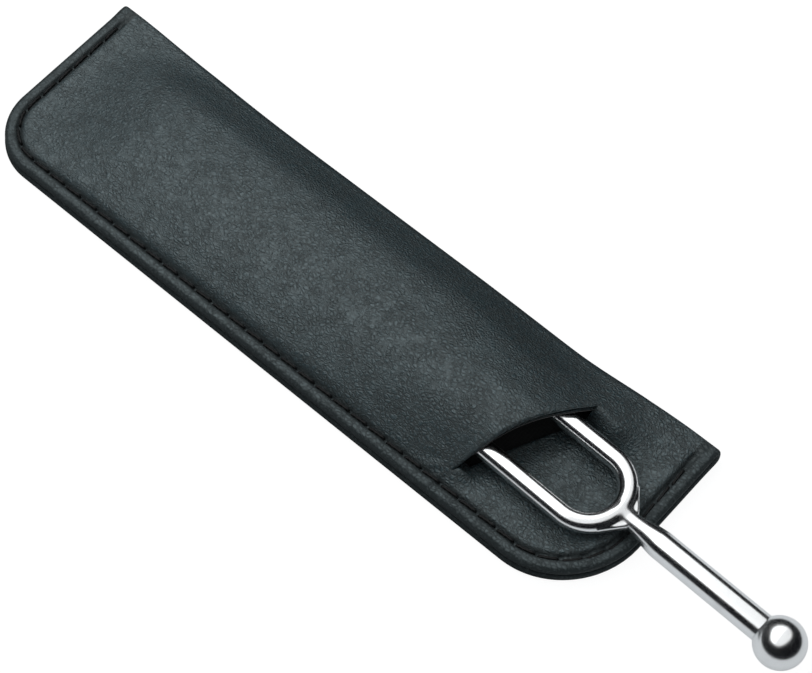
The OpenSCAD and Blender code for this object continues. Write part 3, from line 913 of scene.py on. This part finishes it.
class Fork:
    """The fork's own axes, from the part's joints: the origin is midway between the prong roots, X
    runs along the stem, and Z is normal to the fork."""

    def __init__(self, scene):
        self.s = Millimetres(scene.fork_sizes)
        self.finish = bpy.data.materials.get(PLATING) or plating_finish(scene.finish_colours.metal)
        left = Vector(JOINTS["prong_left_flex"]["pos_m"])
        right = Vector(JOINTS["prong_right_flex"]["pos_m"])
        x = Vector(JOINTS["fork_slide"]["axis"]).normalized()
        z = Vector(JOINTS["prong_left_flex"]["axis"]).normalized()
        y = z.cross(x)
        turn = Matrix((x, y, z)).transposed().to_4x4()
        self.matrix = Matrix.Translation((left + right) / 2) @ turn @ Matrix.Scale(MM, 4)
        self.bend_radius = (left - right).length / 2 / MM
        self.neck_end = self.bend_radius + self.s.prong / 2 + self.s.neck_length
        self.ball_centre = self.bend_radius + self.s.stem_reach

    def turned(self, profile):
        """A turned piece about the fork's X axis, from its profile as (place along X, radius)."""
        bm = bmesh.new()
        verts = [bm.verts.new((x, r, 0)) for x, r in profile]
        edges = [bm.edges.new(pair) for pair in zip(verts, verts[1:])]
        bmesh.ops.spin(bm, geom=verts + edges, cent=(0, 0, 0), axis=(1, 0, 0), dvec=(0, 0, 0),
                       angle=2 * math.pi, steps=self.s.turns, use_merge=True, use_duplicate=False)
        bmesh.ops.remove_doubles(bm, verts=bm.verts, dist=MERGE / 4)
        bmesh.ops.recalc_face_normals(bm, faces=bm.faces)
        return bm

    def finish_piece(self, name, bm, body, node):
        """Sets a piece that was made on the fork's own axes where the fork lies, and plates it."""
        sharpen(bm)
        bmesh.ops.transform(bm, matrix=self.matrix, verts=bm.verts)
        finished(name, bm, self.finish, body, "chromed_steel", node)


class FORK_OT_prongs(Operator):
    """Turn the two straight prongs"""

    bl_idname = "fork.prongs"
    bl_label = "Prongs"

    def execute(self, context):
        fork = Fork(context.scene)
        s = fork.s
        radius = s.prong / 2
        end = -s.prong_length
        tip = [(end + s.tip - s.tip * math.sin(a), radius - s.tip + s.tip * math.cos(a))
               for a in (math.pi / 2 * k / 8 for k in range(9))]
        root = -0.02  # clear of the bend's flat end
        shaft = [(min(end * k / 30, root), radius) for k in range(30)]
        for side, body in ((1, "prong_left"), (-1, "prong_right")):
            bm = fork.turned([(root, 0)] + shaft + tip + [(end, 0)])
            bmesh.ops.translate(bm, verts=bm.verts, vec=(0, side * fork.bend_radius, 0))
            fork.finish_piece(body + "_rod", bm, body, body)
        return {"FINISHED"}


class FORK_OT_bend(Operator):
    """Form the bend with its two webs and the neck, as one smooth casting"""

    bl_idname = "fork.bend"
    bl_label = "Bend and Neck"

    def execute(self, context):
        fork = Fork(context.scene)
        bm = self.remeshed(self.rough_shape(fork))
        for _ in range(6):
            for vert in bm.verts:
                vert.co -= self.slope(fork, vert.co) * self.gap(fork, vert.co)
        for point, normal in (((0, 0, 0), (-1, 0, 0)), ((fork.neck_end, 0, 0), (1, 0, 0))):
            cut = bmesh.ops.bisect_plane(bm, geom=bm.verts[:] + bm.edges[:] + bm.faces[:], dist=1e-5,
                                         plane_co=point, plane_no=normal, clear_outer=True)
            rim = [g for g in cut["geom_cut"] if isinstance(g, bmesh.types.BMEdge)]
            bmesh.ops.holes_fill(bm, edges=rim)
        bmesh.ops.recalc_face_normals(bm, faces=bm.faces)
        fork.finish_piece("fork_bend", bm, "fork", "yoke")
        return {"FINISHED"}

    @staticmethod
    def rough_shape(fork):
        """The bend, the neck and the webs as overlapping solids, a little beyond both ends."""
        bm = bmesh.new()
        radius, bend = fork.s.prong / 2, fork.bend_radius
        ring = bmesh.ops.create_circle(bm, cap_ends=False, radius=radius, segments=24)["verts"]
        bmesh.ops.rotate(bm, verts=ring, cent=(0, 0, 0), matrix=Matrix.Rotation(math.pi / 2, 3, "Y"))
        bmesh.ops.translate(bm, verts=ring, vec=(0, bend, 0))
        geometry = ring + list({e for v in ring for e in v.link_edges})
        bmesh.ops.spin(bm, geom=geometry, cent=(0, 0, 0), axis=(0, 0, -1), angle=math.pi, steps=40,
                       use_duplicate=False)
        for side in (1, -1):
            rim = [e for e in bm.edges if e.is_boundary and e.verts[0].co.y * side > 0
                   and abs(e.verts[0].co.x) < 0.01 and abs(e.verts[1].co.x) < 0.01]
            moved = bmesh.ops.extrude_edge_only(bm, edges=rim)["geom"]
            verts = [g for g in moved if isinstance(g, bmesh.types.BMVert)]
            bmesh.ops.translate(bm, verts=verts, vec=(-2, 0, 0))
            bmesh.ops.holes_fill(bm, edges=[g for g in moved if isinstance(g, bmesh.types.BMEdge)
                                            and g.is_boundary])
        neck = bmesh.ops.create_cone(bm, cap_ends=True, segments=24, radius1=fork.s.neck / 2,
                                     radius2=fork.s.neck / 2, depth=6)["verts"]
        bmesh.ops.rotate(bm, verts=neck, cent=(0, 0, 0), matrix=Matrix.Rotation(math.pi / 2, 3, "Y"))
        bmesh.ops.translate(bm, verts=neck, vec=(fork.neck_end - 1, 0, 0))
        web = bmesh.ops.create_cube(bm, size=1)["verts"]
        for vert in web:
            far = vert.co.x > 0
            vert.co = Vector((fork.neck_end if far else bend - 0.6,
                              math.copysign(fork.s.neck / 2 if far else bend * 0.7, vert.co.y),
                              math.copysign(fork.s.web / 2, vert.co.z)))
        bmesh.ops.recalc_face_normals(bm, faces=bm.faces)
        return bm

    @staticmethod
    def remeshed(rough):
        """One even skin round overlapping solids."""
        block = placed("rough_bend", rough)
        skin = block.modifiers.new("skin", "REMESH")
        skin.mode = "VOXEL"
        skin.voxel_size = 0.14
        even = block.modifiers.new("even", "SMOOTH")
        even.iterations = 8
        ready = block.evaluated_get(bpy.context.evaluated_depsgraph_get())
        bm = bmesh.new()
        bm.from_mesh(ready.to_mesh())
        ready.to_mesh_clear()
        bpy.data.objects.remove(block)
        return bm

    @staticmethod
    def gap(fork, p):
        """Signed distance from the bend's surface: the bar, the webs and the neck run into each other."""
        s = fork.s
        bar, neck = s.prong / 2, s.neck / 2
        corner, bar_fillet, web_fillet = 0.5, 0.8, 0.4
        from_middle = math.hypot(p.x, p.y) if p.x > 0 else abs(p.y)
        tube = math.hypot(from_middle - fork.bend_radius, p.z) - bar
        post = max(math.hypot(p.y, p.z) - neck, fork.bend_radius - p.x)
        outer = fork.bend_radius + bar
        touch = math.acos(outer / math.hypot(fork.neck_end, neck)) + math.atan2(neck, fork.neck_end)
        edge = p.x * math.cos(touch) + abs(p.y) * math.sin(touch) - outer
        past = abs(p.y) * math.cos(touch) - p.x * math.sin(touch)
        flat = max(edge, past, fork.bend_radius - 0.4 - math.hypot(p.x, p.y))
        tall = abs(p.z) - s.web / 2
        round_out = math.hypot(max(flat + corner, 0), max(tall + corner, 0))
        web = min(max(flat, tall) + corner, 0) + round_out - corner
        return blended(blended(tube, post, bar_fillet), web, web_fillet)

    def slope(self, fork, p):
        """The direction in which that distance grows, from a small step along each axis."""
        step = 0.01
        rise = [self.gap(fork, p + d) - self.gap(fork, p - d) for d in Matrix.Scale(step, 3)]
        return Vector(rise).normalized()


def blended(a, b, radius):
    """The nearer of two distances, rounded where they are alike."""
    h = clamp(0.5 + 0.5 * (b - a) / radius)
    return mix(b, a, h) - radius * h * (1 - h)


class FORK_OT_stem(Operator):
    """Turn the stem, from the neck's taper to the ball"""

    bl_idname = "fork.stem"
    bl_label = "Stem"

    def execute(self, context):
        fork = Fork(context.scene)
        s = fork.s
        neck, full = s.neck / 2, s.stem / 2
        seat = fork.ball_centre - math.sqrt((s.ball / 2) ** 2 - full ** 2)
        taper = [(fork.neck_end + s.taper * k / 20, mix(neck, full, ramp(0, 1, k / 20) * 0.6 + 0.4 * k / 20))
                 for k in range(21)]
        shaft = runs(fork.neck_end + s.taper, (seat, 24))[1:]
        bm = fork.turned([(fork.neck_end, 0)] + taper + [(x, full) for x in shaft] + [(seat, 0)])
        fork.finish_piece("fork_stem", bm, "fork", "stem")
        return {"FINISHED"}


class FORK_OT_ball(Operator):
    """Turn the ball at the end of the stem"""

    bl_idname = "fork.ball"
    bl_label = "Ball"

    def execute(self, context):
        fork = Fork(context.scene)
        s = fork.s
        radius = s.ball / 2
        start = math.asin(s.stem / s.ball)
        arc = [start + (math.pi - start) * k / 46 for k in range(47)]
        profile = [(fork.ball_centre - radius * math.cos(a), radius * math.sin(a)) for a in arc]
        bm = fork.turned([(profile[0][0], 0)] + profile)
        fork.finish_piece("fork_ball", bm, "fork", "ball_foot")
        return {"FINISHED"}


def reflected_only(name, bm):
    """Makes a dark surface of the studio that shows in reflections and nowhere else."""
    finish = new_finish(name, {"Base Color": (0.01, 0.01, 0.012, 1), "Roughness": 1.0,
                               "Specular IOR Level": 0.0})[0]
    surface = placed(name, bm, finish)
    for kind in ("camera", "diffuse", "shadow", "transmission"):
        setattr(surface, f"visible_{kind}", False)


class STAGE_OT_studio(Operator):
    """Set up the pale floor, the soft lights, the world and the camera"""

    bl_idname = "stage.studio"
    bl_label = "Studio"

    def execute(self, context):
        scene = context.scene
        bm = bmesh.new()
        bmesh.ops.create_grid(bm, x_segments=2, y_segments=2, size=2.5)
        bmesh.ops.translate(bm, verts=bm.verts, vec=(0, 0, -0.05 * MM))
        placed("floor", bm, floor_finish(scene.finish_colours.floor))
        self.world(scene)
        for name, y, size_y, power in (("top_softbox", -0.085, 0.83, 3.45),
                                       ("middle_softbox", 0.445, 0.23, 0.72),
                                       ("low_softbox", 0.94, 0.76, 1.2)):
            self.softbox(name, (-0.68, y, 0.62), (1.24, size_y), power)
        self.dark_wall(radius=0.60, far_height=0.42, near_height=0.72, stem_extra=0.5)
        self.dark_card(low=(-0.60, -0.027), high=(0.066, 0.60), height=-0.02 * MM)
        self.camera(scene)
        scene.view_settings.view_transform = "Standard"
        return {"FINISHED"}

    @staticmethod
    def world(scene):
        """Plain grey air that lights the object and looks white."""
        scene.world = bpy.data.worlds.new("studio_air")
        scene.world.use_nodes = True
        tree = scene.world.node_tree
        tree.nodes.clear()
        maths = Sockets(tree, None)
        looked_at = maths.ray("Camera").at_least(maths.ray("Glossy")).at_least(maths.ray("Transmission"))
        plain, white = (maths.node("ShaderNodeBackground", None, {"Color": colour, "Strength": strength})
                        for colour, strength in (((0.93, 0.97, 1, 1), 0.42), ((1, 1, 1, 1), 1.0)))
        both = maths.node("ShaderNodeMixShader", None, {0: looked_at, 1: plain, 2: white})
        feed(maths, tree.nodes.new("ShaderNodeOutputWorld"), Surface=both)

    @staticmethod
    def softbox(name, place, size, power):
        """A soft light that hangs level and shines straight down."""
        light = bpy.data.lights.new(name, "AREA")
        light.shape = "RECTANGLE"
        light.size, light.size_y = size
        light.energy = power
        lamp = bpy.data.objects.new(name, light)
        bpy.context.scene.collection.objects.link(lamp)
        lamp.location = place

    @staticmethod
    def dark_wall(radius, far_height, near_height, stem_extra):
        """A dark wall round the table that only the reflections see: low on the fold's side of the
        sleeve, where the light reaches down, and high on the sewn edge's side and past the stem."""
        bm = bmesh.new()
        bmesh.ops.create_cone(bm, cap_ends=False, segments=64, radius1=radius, radius2=radius, depth=2)
        for vert in bm.verts:
            around = math.atan2(vert.co.y, vert.co.x)
            near = ramp(0.1, 0.9, 0.5 - 0.5 * math.sin(around))
            past_stem = stem_extra * max(0, math.cos(around)) ** 2
            vert.co.z = mix(far_height, near_height, near) + past_stem if vert.co.z > 0 else 2 * MM
        reflected_only("dark_wall", bm)

    @staticmethod
    def dark_card(low, high, height):
        """A dark card laid round the fold's side of the sleeve, which only the reflections see: a black flag
        on the floor, and painted shade where the sleeve's side faces reflect it in place of the sleeve's own
        shadow on the floor.
        """
        bm = bmesh.new()
        bmesh.ops.create_grid(bm, x_segments=1, y_segments=1, size=0.5)
        for vert in bm.verts:
            x, y = (mix(low[k], high[k], vert.co[k] + 0.5) for k in (0, 1))
            vert.co = x, y, height
        reflected_only("dark_card", bm)

    @staticmethod
    def camera(scene):
        """Looks down on the fork's end of the sleeve, past its sewn edge."""
        data = bpy.data.cameras.new("view")
        data.lens = 89.78
        data.sensor_width = 36
        data.clip_start = 0.01
        camera = bpy.data.objects.new("view", data)
        scene.collection.objects.link(camera)
        camera.location = (0.12425, -0.12395, 0.32960)
        aim = Vector((0.01531, 0.00187, 0)) - camera.location
        camera.rotation_euler = aim.to_track_quat("-Z", "Y").to_euler()
        scene.camera = camera


class VIEW3D_PT_tuning_fork(Panel):
    """Lists the steps that make the fork and its sleeve"""

    bl_label = "Tuning Fork"
    bl_idname = "VIEW3D_PT_tuning_fork"
    bl_space_type = "VIEW_3D"
    bl_region_type = "UI"
    bl_category = "Tuning Fork"

    def draw(self, context):
        layout = self.layout
        for title, group, steps in (
                ("Sleeve", "sleeve_sizes", ("sleeve.cover", "sleeve.lining")),
                ("Seam", "seam_sizes", ("sleeve.stitches",)),
                ("Fork", "fork_sizes", ("fork.prongs", "fork.bend", "fork.stem", "fork.ball")),
                ("Finishes", "finish_colours", ("stage.studio",))):
            box = layout.box()
            box.label(text=title)
            sizes = getattr(context.scene, group)
            for name in sizes.__annotations__:
                box.prop(sizes, name)
            for step in steps:
                box.operator(step)


GROUPS = (("sleeve_sizes", SleeveSizes), ("seam_sizes", SeamSizes),
          ("fork_sizes", ForkSizes), ("finish_colours", FinishColours))
CLASSES = (SleeveSizes, SeamSizes, ForkSizes, FinishColours, SLEEVE_OT_cover, SLEEVE_OT_lining,
           SLEEVE_OT_stitches, FORK_OT_prongs, FORK_OT_bend, FORK_OT_stem, FORK_OT_ball,
           STAGE_OT_studio, VIEW3D_PT_tuning_fork)


def register():
    for cls in CLASSES:
        bpy.utils.register_class(cls)
    for name, group in GROUPS:
        setattr(bpy.types.Scene, name, PointerProperty(type=group))


def unregister():
    for name, _ in GROUPS:
        delattr(bpy.types.Scene, name)
    for cls in reversed(CLASSES):
        bpy.utils.unregister_class(cls)


def main():
    """Makes every piece and the studio, in order."""
    register()
    for step in (bpy.ops.sleeve.cover, bpy.ops.sleeve.lining, bpy.ops.sleeve.stitches, bpy.ops.fork.prongs,
                 bpy.ops.fork.bend, bpy.ops.fork.stem, bpy.ops.fork.ball, bpy.ops.stage.studio):
        step()


if __name__ == "__main__":
    main()
